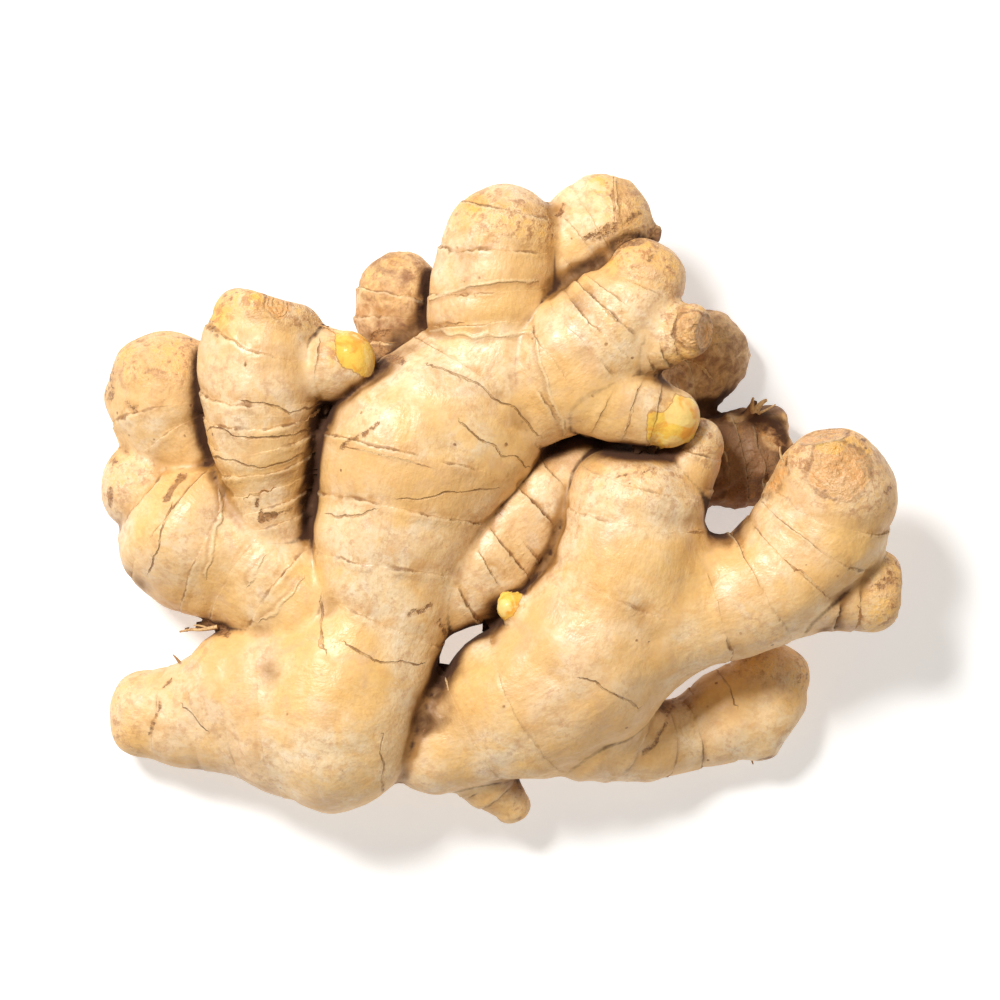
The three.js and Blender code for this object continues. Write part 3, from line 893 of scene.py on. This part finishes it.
for centre, size in GOLDEN:
    away = np.hypot(*(wavering - photo_place(centre)).T) / (size * PHOTO_WIDTH)
    gold = np.maximum(gold, fade(away, 1.1, 0.2) * seen)
store_number("gold", gold)
mark *= seen
store_number("mark", mark)
store_number("crack", crack)
store_number("crack_kind", smoothed(crack_kind, 1))
print("vertices seen from above:", int(seen.sum()), "of", net.count, "marked:", int((mark > 0.3).sum()))


# %% [markdown]
# The finish is built from nodes. One helper adds any node and fills its sockets. A Paint holds one
# material and the colour mixed so far, with short names for the nodes that come up all the time.

# %% Tools for the material
def add_node(tree, kind, inputs=None, **settings):
    node = tree.nodes.new("ShaderNode" + kind)
    for name, value in settings.items():
        setattr(node, name, value)
    for socket, value in (inputs or {}).items():
        if isinstance(value, bpy.types.NodeSocket):
            tree.links.new(value, node.inputs[socket])
        else:
            node.inputs[socket].default_value = value
    return node


class Paint:
    """A material with its node tree, and short ways to add the nodes that a grown skin needs."""

    def __init__(self, name):
        self.material = bpy.data.materials.new(name)
        self.material.use_nodes = True
        self.tree = self.material.node_tree
        self.shader = self.tree.nodes["Principled BSDF"]
        place = add_node(self.tree, "TexCoord").outputs["Object"]
        self.place = self.vector("SCALE", place, 1 / MM)
        self.colour = None

    def vector(self, operation, value, other):
        socket = "Scale" if operation == "SCALE" else 1
        return add_node(self.tree, "VectorMath", {0: value, socket: other}, operation=operation).outputs[0]

    def read(self, name, output="Fac"):
        return add_node(self.tree, "Attribute", attribute_name=name).outputs[output]

    def calc(self, operation, *values):
        inputs = dict(enumerate(values))
        return add_node(self.tree, "Math", inputs, operation=operation).outputs[0]

    def times(self, first, second):
        return self.calc("MULTIPLY", first, second)

    def plus(self, first, second):
        return self.calc("ADD", first, second)

    def minus(self, first, second):
        return self.calc("SUBTRACT", first, second)

    def sway(self, noise, amount):
        """A noise from 0 to 1, made to swing evenly round zero."""
        return self.times(self.minus(noise, 0.5), amount)

    def between(self, value, low, high, start=0.0, stop=1.0):
        inputs = {0: value, 1: low, 2: high, 3: start, 4: stop}
        return add_node(self.tree, "MapRange", inputs, interpolation_type="SMOOTHSTEP").outputs[0]

    def near(self, value, target, far, close, start=0.0, stop=1.0):
        """Stop where the value is within close of the target, start where it is beyond far."""
        return self.between(self.calc("ABSOLUTE", self.minus(value, target)), far, close, start, stop)

    def mix(self, share, first, second, way="MIX"):
        inputs = {0: share, 6: first, 7: second}
        node = add_node(self.tree, "Mix", inputs, data_type="RGBA", blend_type=way)
        return node.outputs[2]

    def coat(self, share, paint):
        """Lay a paint over the colour so far, where the share is above 0."""
        self.colour = self.mix(share, self.colour, paint if hasattr(paint, "node") else (*paint, 1))

    def tint(self, value, low, high, most, paint):
        self.coat(self.between(value, low, high, 0.0, most), paint)

    def plug(self, name, socket):
        self.tree.links.new(socket, self.shader.inputs[name])

    def grain(self, vector, wavelength, detail=2.0, rough=0.5, swirl=0.0):
        inputs = {"Vector": vector, "Scale": 1.0 / wavelength, "Detail": detail, "Roughness": rough,
                  "Distortion": swirl}
        return add_node(self.tree, "TexNoise", inputs).outputs["Fac"]

    def bump(self, height, depth, strength=1.0):
        """Relief with a depth in millimetres where the height is 1."""
        inputs = {"Height": height, "Distance": depth * MM, "Strength": strength}
        return add_node(self.tree, "Bump", inputs).outputs["Normal"]


print("material tools ready")


# %% [markdown]
# Fresh ginger skin is thin and papery. It is pale cream in places, with pale silvery patches that are
# partly the dry skin's own colour and partly painted sheen. Hollows get a painted warm shade, and
# creases a painted shade that is almost black. Fine fibres run along each finger, and the tips are
# flaked with orange and brown. Each layer of paint below goes over the ones before it.

# %% Skin colour
skin = Paint("ginger_skin_paint")
grown_at = skin.read("grown", "Vector")
along_fibres = skin.vector("MULTIPLY", grown_at, (1.0, 0.10, 1.0))
past_scar = skin.times(skin.read("past_tent"), skin.calc("SIGN", skin.read("past_turn")))
scar_strength = skin.read("strength")
hollow_here = skin.read("hollow")
shelter_here = skin.read("shelter")
crease_here = skin.read("crease")
brown_here = skin.read("brown")

cloud = skin.grain(skin.place, 13.0, detail=2.0)
mottle = skin.grain(skin.place, 3.4, detail=3.0, rough=0.65, swirl=0.6)
speckle = skin.grain(skin.place, 0.75, detail=2.0, rough=0.65)
fibre = skin.grain(along_fibres, 0.55, detail=2.0, rough=0.6)
quiet = skin.minus(1.0, skin.read("seam"))
fibre = skin.calc("MULTIPLY_ADD", skin.minus(fibre, 0.5), quiet, 0.5)
flake = skin.grain(skin.place, 1.8, detail=4.0, rough=0.75)
tip_here = skin.read("tip")

blotch = skin.grain(skin.place, 7.0, detail=3.0, rough=0.65, swirl=0.8)
skin.colour = skin.mix(skin.between(cloud, 0.36, 0.64), (0.85, 0.53, 0.20, 1), (0.93, 0.72, 0.45, 1))
skin.tint(blotch, 0.52, 0.66, 0.50, (0.90, 0.56, 0.19))
skin.tint(blotch, 0.47, 0.33, 0.50, (0.70, 0.44, 0.245))
skin.tint(mottle, 0.52, 0.70, 0.45, (0.76, 0.40, 0.125))
skin.tint(speckle, 0.40, 0.68, 0.28, (0.66, 0.37, 0.135))
# Pale silvery patches: partly the dry skin's own colour, partly painted sheen.
pale_skin_and_sheen = skin.times(skin.between(mottle, 0.50, 0.34), skin.between(cloud, 0.42, 0.62, 0.1, 0.6))
skin.coat(pale_skin_and_sheen, (0.92, 0.78, 0.58))
torn_tip = skin.times(tip_here, skin.between(blotch, 0.38, 0.56, 0.35, 1.0))
tip_paints = [(0.49, 0.40, 0.85, (0.92, 0.50, 0.10)), (0.49, 0.56, 0.9, (0.60, 0.28, 0.10)),
              (0.57, 0.61, 0.9, (0.28, 0.105, 0.03))]
for low, high, most, paint in tip_paints:
    skin.coat(skin.times(torn_tip, skin.between(flake, low, high, 0.0, most)), paint)
golden = skin.times(skin.read("gold"), skin.between(mottle, 0.38, 0.54, 0.25, 0.95))
skin.coat(golden, (0.93, 0.50, 0.075))
rusty = skin.times(skin.read("gold"), skin.between(flake, 0.53, 0.58, 0.0, 0.8))
skin.coat(rusty, (0.55, 0.21, 0.045))
skin.tint(skin.read("band_tone"), 0.0, 1.0, 0.35, (0.76, 0.435, 0.175))
smudge = skin.times(skin.between(flake, 0.48, 0.66), skin.between(cloud, 0.42, 0.62, 0.08, 0.60))
skin.coat(smudge, (0.60, 0.335, 0.175))
skin.tint(fibre, 0.52, 0.75, 0.20, (0.56, 0.30, 0.115))
skin.tint(fibre, 0.44, 0.28, 0.16, (0.90, 0.70, 0.44))
# Painted shade: skin in hollows and with little room above it is darkened to a warm brown.
hollow_shade = skin.plus(skin.times(hollow_here, 0.4), skin.times(shelter_here, 1.5))
hollow_shade = skin.plus(hollow_shade, skin.sway(cloud, 0.8))
skin.tint(hollow_shade, 0.14, 0.85, 0.90, (0.36, 0.155, 0.026))
print("skin colours mixed:", len(skin.tree.nodes), "nodes")


# %% [markdown]
# The husky fingers and the fresh buds have colours of their own. Creases and sheltered skin get a
# painted shade that is almost black, and the darkest brown of the low back finger is partly its dry
# husk and partly painted shade.

# %% Brown fingers, painted shade in the creases, and buds
patchy = skin.plus(brown_here, skin.sway(mottle, 2.2))
husk = skin.mix(skin.between(blotch, 0.42, 0.58), (0.36, 0.17, 0.07, 1), (0.66, 0.40, 0.20, 1))
husk = skin.mix(skin.between(speckle, 0.45, 0.62, 0.0, 0.5), husk, (0.24, 0.10, 0.035, 1))
skin.coat(skin.times(skin.between(brown_here, 0.0, 0.35), skin.between(patchy, 0.2, 1.0)), husk)
# The darkest brown, on the low back finger, is partly its dry husk and partly painted shade, for that
# finger lies low in the shade of the others.
skin.tint(brown_here, 0.7, 1.0, 0.75, (0.21, 0.092, 0.036))
# Painted shade: creases and sheltered skin are darkened almost to black.
painted_crease_shade = skin.plus(skin.times(crease_here, 0.50), shelter_here)
painted_crease_shade = skin.plus(painted_crease_shade, skin.sway(mottle, 0.35))
skin.tint(painted_crease_shade, 0.26, 0.66, 0.97, (0.055, 0.016, 0.003))
bud_here = skin.plus(skin.read("yellow"), skin.sway(speckle, 0.5))
fresh = skin.mix(skin.between(mottle, 0.42, 0.60), (0.92, 0.60, 0.10, 1), (0.88, 0.40, 0.05, 1))
fresh = skin.mix(skin.between(blotch, 0.52, 0.60, 0.0, 0.6), fresh, (0.94, 0.76, 0.32, 1))
skin.coat(skin.between(bud_here, 0.30, 0.55), fresh)
bud_rim = skin.near(bud_here, 0.40, 0.16, 0.02, 0.0, 0.65)
skin.coat(bud_rim, (0.40, 0.18, 0.055))
print("brown and yellow parts:", len(skin.tree.nodes), "nodes")


# %% [markdown]
# A scar's line is thinner than a face of the mesh, so it is drawn from the distance to it. Noise
# shifts that distance, so the line wavers and tears, and other noise breaks it into dashes. The dark
# line is partly the scar's own brown and partly painted shadow below the lip, and a pale line painted
# just before it is the lip's highlight.

# %% Scar lines, cracks and spots
waver = skin.grain(skin.place, 1.3, detail=3.0, rough=0.6)
torn = skin.plus(past_scar, skin.sway(waver, 0.75))
dashes = skin.grain(skin.place, 2.6, detail=2.0, rough=0.5)
line_width = skin.between(dashes, 0.40, 0.70, 0.07, 0.36)
# The dark scar line is partly the scar's own brown and partly painted shadow below the lip's step.
behind = skin.calc("ABSOLUTE", skin.minus(torn, 0.16))
scar_line_and_shadow = skin.between(skin.calc("DIVIDE", behind, line_width), 1.55, 0.25)
scar_line_and_shadow = skin.times(scar_line_and_shadow, skin.between(scar_strength, 0.15, 0.85))
# Painted highlight: a pale line on the lip just before each scar.
lip_highlight = skin.near(torn, -0.22, 0.34, 0.05)
lip_highlight = skin.times(lip_highlight, skin.between(scar_strength, 0.3, 0.9, 0.0, 0.36))
stain = skin.near(torn, 0.6, 1.9, 0.1)
stain = skin.times(stain, skin.times(scar_strength, skin.between(mottle, 0.40, 0.62)))
skin.coat(skin.times(stain, 0.7), (0.58, 0.29, 0.085))
skin.coat(lip_highlight, (0.88, 0.70, 0.44))
brown_ink = skin.mix(skin.between(speckle, 0.35, 0.65), (0.17, 0.062, 0.018, 1), (0.42, 0.20, 0.07, 1))
line_ink = skin.mix(skin.between(dashes, 0.42, 0.60), (0.48, 0.24, 0.075, 1), (0.25, 0.10, 0.026, 1))
skin.coat(skin.times(scar_line_and_shadow, skin.between(waver, 0.3, 0.6, 0.45, 0.85)), line_ink)

crack_at = skin.plus(skin.read("crack"), skin.sway(waver, 0.7))
crack_kind_here = skin.read("crack_kind")
crack_line = skin.near(crack_at, 0.0, 0.24, 0.05)
fold_line = skin.near(crack_at, 0.0, 0.55, 0.05)
dark_crack = skin.times(crack_line, skin.between(crack_kind_here, 0.1, 0.9))
# Painted highlight: a pale fold is painted pale along its ridge.
pale_fold_highlight = skin.times(fold_line, skin.between(crack_kind_here, -0.1, -0.9))
# Painted shade along one side of each pale fold.
fold_shadow = skin.near(crack_at, 0.7, 0.75, 0.1, 0.0, 0.4)
fold_shadow = skin.times(fold_shadow, skin.between(crack_kind_here, -0.1, -0.9))
skin.coat(fold_shadow, (0.45, 0.22, 0.08))
skin.coat(skin.times(pale_fold_highlight, 0.28), (0.92, 0.74, 0.46))
skin.coat(skin.times(dark_crack, skin.between(dashes, 0.35, 0.6, 0.3, 0.8)), line_ink)

ragged = skin.grain(skin.place, 0.9, detail=3.0, rough=0.7)
spotted = skin.plus(skin.read("mark"), skin.sway(ragged, 1.9))
spotted = skin.times(spotted, skin.between(skin.read("mark"), 0.02, 0.25))
skin.tint(skin.read("mark"), 0.05, 0.6, 0.45, (0.58, 0.29, 0.10))
spot = skin.between(spotted, 0.35, 0.80)
skin.coat(skin.times(spot, 0.85), brown_ink)
print("scar lines drawn:", len(skin.tree.nodes), "nodes")


# %% [markdown]
# A tip that carried a stem shows its cut bundles as rings in the dish. All over the root there are
# tiny brown specks, where rootlets broke off.

# %% Stem scars and specks
uneven = skin.plus(skin.minus(mottle, 0.5), skin.minus(waver, 0.5))
dish_here = skin.plus(skin.read("dish"), skin.times(uneven, 0.42))
in_dish = skin.between(dish_here, 1.08, 0.90)
rings = skin.calc("SINE", skin.times(dish_here, 19.0))
ringed = skin.mix(skin.between(blotch, 0.42, 0.60), (0.78, 0.36, 0.10, 1), (0.68, 0.38, 0.16, 1))
ring_ink = skin.times(skin.between(rings, 0.1, 0.95), skin.between(mottle, 0.40, 0.60, 0.05, 0.5))
ringed = skin.mix(ring_ink, ringed, (0.34, 0.145, 0.045, 1))
ringed = skin.mix(skin.between(speckle, 0.50, 0.66, 0.0, 0.5), ringed, (0.84, 0.62, 0.34, 1))
# On the darkest brown finger the dish is darkened too: partly dry husk, partly painted shade.
ringed = skin.mix(skin.between(brown_here, 0.6, 0.95, 0.0, 0.86), ringed, (0.17, 0.078, 0.032, 1))
skin.coat(skin.times(in_dish, 0.72), ringed)
rim = skin.near(dish_here, 1.05, 0.16, 0.02, 0.0, 0.7)
rim = skin.times(rim, skin.between(blotch, 0.42, 0.58, 0.2, 1.0))
skin.coat(rim, brown_ink)

specks = add_node(skin.tree, "TexVoronoi", {"Vector": skin.place, "Scale": 0.23, "Randomness": 1.0})
speck = skin.plus(specks.outputs["Distance"], skin.times(waver, 0.16))
speck = skin.between(speck, 0.17, 0.12)
some = skin.between(skin.grain(skin.place, 7.0), 0.48, 0.56)
speck = skin.times(speck, some)
skin.coat(skin.times(speck, 0.8), brown_ink)
skin.plug("Base Color", skin.colour)
print("stem scars and specks:", len(skin.tree.nodes), "nodes")


# %% [markdown]
# The relief that is finer than the mesh is bump: a slight crinkle, fibres, flakes at the tips, the
# torn lips, cracks and rings. They add up to one height, because one bump renders faster than seven.

# %% Skin relief and gloss
crinkle = skin.grain(skin.vector("MULTIPLY", grown_at, (1.0, 0.7, 1.0)), 1.6, detail=3.0, rough=0.65)
crinkle = skin.calc("MULTIPLY_ADD", skin.minus(crinkle, 0.5), quiet, 0.5)
lip_step = skin.times(skin.between(torn, 0.12, -0.10), skin.between(torn, -1.8, -0.1))
lip_step = skin.times(lip_step, scar_strength)
split = skin.minus(pale_fold_highlight, skin.plus(dark_crack, spot))
parts = [(fibre, 0.024), (speckle, 0.04), (skin.times(flake, tip_here), 0.64), (lip_step, 0.27),
         (split, 0.176), (skin.times(rings, in_dish), 0.07)]
relief = skin.times(crinkle, 0.221)
for part, depth in parts:
    relief = skin.calc("MULTIPLY_ADD", part, depth, relief)
skin.plug("Normal", skin.bump(relief, 1.0))

gloss = skin.between(mottle, 0.3, 0.7, 0.36, 0.54)
gloss = skin.plus(gloss, skin.times(skin.calc("MAXIMUM", brown_here, scar_line_and_shadow), 0.22))
gloss = skin.minus(gloss, skin.times(skin.read("yellow"), 0.12))
gloss = skin.plus(gloss, skin.between(painted_crease_shade, 0.20, 0.70, 0.0, 0.45))
skin.plug("Roughness", gloss)
skin.shader.inputs["Specular IOR Level"].default_value = 0.58
rhizome.data.materials.clear()
rhizome.data.materials.append(skin.material)
print("skin finish:", len(skin.tree.nodes), "nodes")


# %% [markdown]
# Torn rims of dry leaf scales still stand along many scars. Each is a thin strip: a grid laid on the
# skin along the scar, its far edge ragged and lifted a little, and given a paper's thickness. They are
# too thin for the skin's own mesh, so they are pieces of their own, joined into one.

# %% Tools for small things on the skin
STRAY = 1.2
FACING = 0.75
JUMP = 1.3
PAPER = 0.13
depsgraph = bpy.context.evaluated_depsgraph_get()
skin_tree = BVHTree.FromObject(rhizome, depsgraph)


def on_skin(line, along, angle):
    """The skin beside a finger's middle line, in millimetres, and the way out of it, or nothing."""
    spot = min(int(round(along / line["s"][1])), len(line["s"]) - 1)
    around = math.cos(angle) * line["side"][spot] + math.sin(angle) * THICKNESS * line["top"][spot]
    expected = line["centre"][spot] + around * line["radius"][spot]
    place, normal, face, away = skin_tree.find_nearest(Vector(expected * MM))
    if away > STRAY * MM or normal.dot(Vector(around)) < FACING:
        return None
    return np.array(place) / MM, np.array(normal)


def torn_strip(name, line, along, start, stop, width, lift, draw):
    """A strip of dry scale on the skin, along one scar from one angle to another."""
    radius = float(np.interp(along, line["s"], line["radius"]))
    columns = max(5, int(radius * (stop - start) / 0.55))
    skew = line["phases"][2]
    low_edge = []
    high_edge = []
    for k in range(columns + 1):
        angle = start + (stop - start) * k / columns
        level = along - line["slant"] * math.sin(angle + skew + SCAR_TWIST * along)
        found = on_skin(line, level, angle)
        jumped = found is not None and low_edge and np.linalg.norm(found[0] - low_edge[-1]) > JUMP
        if found is None or jumped:
            return None
        spot = int(np.clip(level / line["s"][1], 0, len(line["s"]) - 1))
        forward = line["tangent"][spot]
        forward = forward - found[1] * forward.dot(found[1])
        ends = min(1.0, 3.5 * min(k, columns - k) / columns)
        ragged = ends * (0.45 + 0.55 * next(draw))
        low_edge.append(found[0] - 0.25 * forward - 0.12 * found[1])
        high_edge.append(found[0] + width * ragged * forward + (lift * ragged - 0.03) * found[1])
    middle = [0.5 * (a + b) for a, b in zip(low_edge, high_edge)]
    bpy.ops.object.select_all(action="DESELECT")
    bpy.ops.mesh.primitive_grid_add(x_subdivisions=columns, y_subdivisions=2, size=1)
    strip = bpy.context.object
    strip.name = name
    places = np.array(low_edge + middle + high_edge) * MM
    strip.data.vertices.foreach_set("co", places.ravel())
    strip.data.update()
    solidify = strip.modifiers.new("paper", "SOLIDIFY")
    solidify.thickness = PAPER * MM
    solidify.offset = 0
    bpy.ops.object.modifier_apply(modifier=solidify.name)
    bpy.ops.object.shade_smooth_by_angle(angle=math.radians(50))
    return strip


# %% [markdown]
# Each scar gets two strips at seeded random places. A strip that would leave its own finger is
# left out.

# %% Dry scale rims along the scars
strips = []
for line in lines:
    draw = seeded(500 + line["number"])
    for place in line["scars"]:
        for _ in range(2):
            start = next(draw) * 2 * math.pi
            span = 0.35 + 0.9 * next(draw)
            width = 0.35 + 0.75 * next(draw) ** 2
            lift = 0.10 + 0.22 * next(draw)
            name = "scale_strip_%02d" % len(strips)
            strip = torn_strip(name, line, place, start, start + span, width, lift, draw)
            if strip is not None:
                strips.append(strip)
pick(*strips)
bpy.ops.object.join()
scale_rims = bpy.context.object
scale_rims.name = "dry_scale_rims"
bpy.ops.object.transform_apply(location=True, rotation=True, scale=True)
bpy.ops.object.mode_set(mode="EDIT")
bpy.ops.mesh.select_all(action="SELECT")
bpy.ops.mesh.normals_make_consistent(inside=False)
bpy.ops.object.mode_set(mode="OBJECT")
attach(scale_rims, "root")
print("strips of dry scale:", len(strips), "with", len(scale_rims.data.polygons), "faces")


# %% [markdown]
# A few dry rootlets and fibres stick out. Each is a curve with a thick and a thin end, turned into a
# closed tube.

# %% Rootlets and fibres
THREADS = {
    "left_rootlet": (0.42, 0.14, [
        (-49.6, -22.3, 16.0), (-52.6, -22.9, 15.2), (-54.6, -22.7, 14.6), (-56.4, -23.2, 14.6)]),
    "left_rootlet_fork": (0.25, 0.1, [
        (-51.4, -22.6, 15.6), (-52.6, -21.9, 15.8), (-53.9, -22.0, 16.4)]),
    "thread_over_gap": (0.2, 0.12, [
        (-34.8, 31.0, 27.0), (-32.6, 30.3, 28.6), (-30.2, 30.2, 29.6), (-28.0, 28.6, 30.6)]),
    "shoot_fibre_one": (0.62, 0.3, [
        (45.0, 15.6, 12.6), (45.9, 17.2, 13.4), (46.9, 17.6, 14.2)]),
    "shoot_fibre_two": (0.5, 0.22, [
        (44.6, 15.4, 12.6), (44.2, 16.9, 13.4), (44.6, 18.0, 14.0)]),
    "shoot_fibre_three": (0.3, 0.1, [
        (45.4, 15.2, 12.0), (47.4, 16.0, 12.6), (48.6, 16.9, 12.2)]),
    "lower_spike": (0.4, 0.1, [
        (43.8, -43.2, 7.2), (44.4, -45.4, 6.8), (44.9, -46.9, 6.4)]),
    "tip_fibre": (0.3, 0.1, [
        (-56.4, -28.6, 14.0), (-57.0, -27.7, 14.4), (-57.6, -27.2, 14.2)]),
    "arm_fibre": (0.28, 0.1, [
        (49.0, 6.6, 31.6), (48.2, 8.2, 32.2), (48.4, 9.2, 32.6)]),
}
dry_pieces = [scale_rims]
for name, (thick, thin, places) in THREADS.items():
    curve = bpy.data.curves.new(name, "CURVE")
    curve.dimensions = "3D"
    curve.bevel_depth = MM
    curve.bevel_resolution = 1
    curve.use_fill_caps = True
    curve.resolution_u = 6
    spline = curve.splines.new("NURBS")
    spline.points.add(len(places) - 1)
    spline.order_u = 3
    spline.use_endpoint_u = True
    for k, (point, place) in enumerate(zip(spline.points, places)):
        point.co = (place[0] * MM, place[1] * MM, place[2] * MM, 1)
        point.radius = thick + (thin - thick) * k / (len(places) - 1)
    piece = bpy.data.objects.new(name, curve)
    bpy.context.collection.objects.link(piece)
    pick(piece)
    bpy.ops.object.convert(target="MESH")
    piece = bpy.context.object
    bpy.ops.object.shade_smooth()
    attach(piece, "root")
    dry_pieces.append(piece)
print("rootlets and fibres:", len(THREADS))


# %% [markdown]
# Dry scale and dry root are the same stuff: brown, matt and fibrous, with dark and pale streaks.

# %% Dry finish
dry = Paint("dry_scale_paint")
stretched = dry.vector("MULTIPLY", dry.place, (1.0, 1.0, 2.0))
streak = dry.grain(stretched, 0.5, detail=4.0, rough=0.65, swirl=0.5)
patch = dry.grain(dry.place, 5.0, detail=3.0)
dry.colour = dry.mix(dry.between(patch, 0.42, 0.60), (0.78, 0.52, 0.25, 1), (0.45, 0.22, 0.075, 1))
dry.coat(dry.between(streak, 0.50, 0.68, 0.0, 0.7), (0.22, 0.09, 0.03))
dry.coat(dry.between(streak, 0.42, 0.30, 0.0, 0.6), (0.88, 0.68, 0.42))
dry.plug("Base Color", dry.colour)
dry.plug("Roughness", dry.between(streak, 0.3, 0.7, 0.60, 0.82))
dry.plug("Normal", dry.bump(streak, 0.08, 0.8))
for piece in dry_pieces:
    piece.data.materials.clear()
    piece.data.materials.append(dry.material)
print("dry finish on", len(dry_pieces), "pieces")
